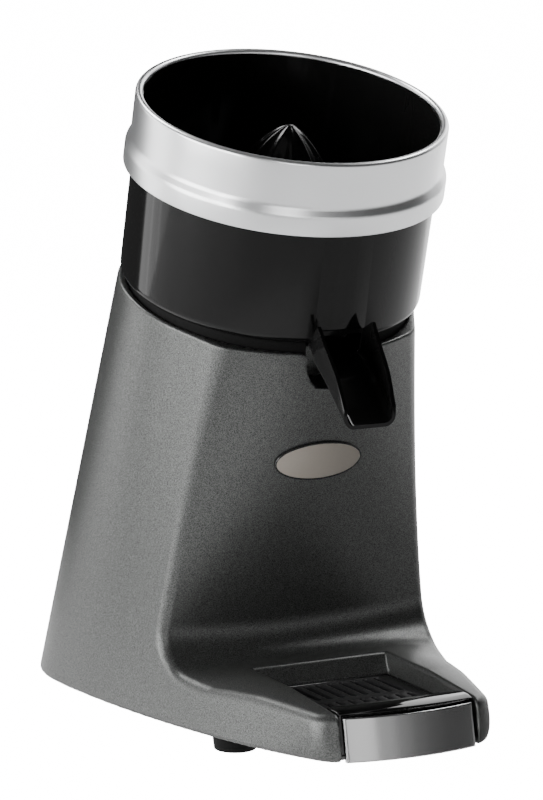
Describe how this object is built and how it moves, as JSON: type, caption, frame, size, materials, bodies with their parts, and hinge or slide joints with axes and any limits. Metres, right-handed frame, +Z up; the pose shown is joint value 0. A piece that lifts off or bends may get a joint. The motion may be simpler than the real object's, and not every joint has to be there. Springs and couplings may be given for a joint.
{
  "type": "citrus press juicer",
  "caption": "Electric citrus press with a forward-leaning cast housing, a lift-off black bowl with a spout, an aluminium splash ring and a pull-out drip tray.",
  "frame": {"origin": "middle of the footprint, on the table, under the juicer", "axes": "+Z up, +X to the right seen from the front, the spout and drip tray face -Y"},
  "size_m": [0.192, 0.311, 0.3483],
  "materials": {
    "housing_paint": "cast aluminium under dark metallic grey paint, fine grained, semi-gloss",
    "badge_enamel": "plain cream oval with a dark edge",
    "bowl_black": "high gloss black",
    "reamer_black": "gloss black",
    "tray_black": "high gloss black",
    "rocker_black": "gloss black",
    "black_plastic": "moulded, fine grain",
    "satin_aluminium": "spun, satin",
    "stainless_steel": "bright stainless",
    "bearing_steel": "ground",
    "screw_steel": "zinc plated",
    "steel_sheet": "dark painted sheet",
    "lamination": "stacked sheets, varnished",
    "cast_aluminium": "as cast",
    "copper_winding": "varnished copper wire",
    "capacitor_can": "drawn can",
    "terminal_block": "moulded, cream",
    "rubber": "matt black"
  },
  "bodies": {
    "base": {"housing": "housing_paint", "badge": "badge_enamel", "bottom_plate": "steel_sheet", "foot_front_left": "rubber", "foot_front_right": "rubber", "foot_rear_left": "rubber", "foot_rear_right": "rubber", "foot_screw_front_left": "screw_steel", "foot_screw_front_right": "screw_steel", "foot_screw_rear_left": "screw_steel", "foot_screw_rear_right": "screw_steel", "bowl_seat_gasket": "rubber", "shaft_seal": "rubber", "motor_screw_1": "screw_steel", "motor_screw_2": "screw_steel", "motor_screw_3": "screw_steel", "motor_screw_4": "screw_steel", "motor_end_shield_upper": "cast_aluminium", "motor_end_shield_lower": "cast_aluminium", "motor_frame": "steel_sheet", "stator_core": "lamination", "stator_winding_upper": "copper_winding", "stator_winding_lower": "copper_winding", "bearing_upper": "bearing_steel", "bearing_lower": "bearing_steel", "run_capacitor": "capacitor_can", "terminal_block": "terminal_block", "cord_gland": "black_plastic", "power_switch_body": "black_plastic"},
    "rotor": {"motor_shaft": "stainless_steel", "rotor_core": "lamination", "cooling_fan": "black_plastic"},
    "bowl": {"bowl": "bowl_black"},
    "splash_ring": {"splash_ring": "satin_aluminium"},
    "strainer": {"strainer": "stainless_steel"},
    "drive_hub": {"drive_hub": "black_plastic"},
    "reamer": {"reamer": "reamer_black"},
    "drip_tray": {"drip_tray": "tray_black", "tray_panel": "tray_black"},
    "tray_grid": {"tray_grid": "black_plastic"},
    "power_rocker": {"power_rocker": "rocker_black"}
  },
  "joints": [
    {"name": "motor_spin", "type": "hinge", "parent": "base", "child": "rotor", "pos_m": [0, 0.0688, 0], "axis": [0, -0.2598, 0.9657], "continuous": true},
    {"name": "bowl_lift", "type": "slide", "parent": "base", "child": "bowl", "axis": [0, -0.2598, 0.9657], "range_m": [0, 0.12]},
    {"name": "ring_lift", "type": "slide", "parent": "bowl", "child": "splash_ring", "axis": [0, -0.2598, 0.9657], "range_m": [0, 0.08]},
    {"name": "strainer_lift", "type": "slide", "parent": "bowl", "child": "strainer", "axis": [0, -0.2598, 0.9657], "range_m": [0, 0.1]},
    {"name": "reamer_spin", "type": "hinge", "parent": "strainer", "child": "drive_hub", "pos_m": [0, 0.0688, 0], "axis": [0, -0.2598, 0.9657], "continuous": true},
    {"name": "reamer_lift", "type": "slide", "parent": "drive_hub", "child": "reamer", "axis": [0, -0.2598, 0.9657], "range_m": [0, 0.05]},
    {"name": "tray_slide", "type": "slide", "parent": "base", "child": "drip_tray", "axis": [0, -1, 0], "range_m": [0, 0.11]},
    {"name": "grid_lift", "type": "slide", "parent": "drip_tray", "child": "tray_grid", "axis": [0, 0, 1], "range_m": [0, 0.05]},
    {"name": "rocker_tilt", "type": "hinge", "parent": "base", "child": "power_rocker", "pos_m": [0, 0.13124, 0.08392], "axis": [1, 0, 0], "range_deg": [0, 20]}
  ],
  "couplings": [
    {"joint": "reamer_spin", "follows": "motor_spin", "ratio": 1}
  ]
}
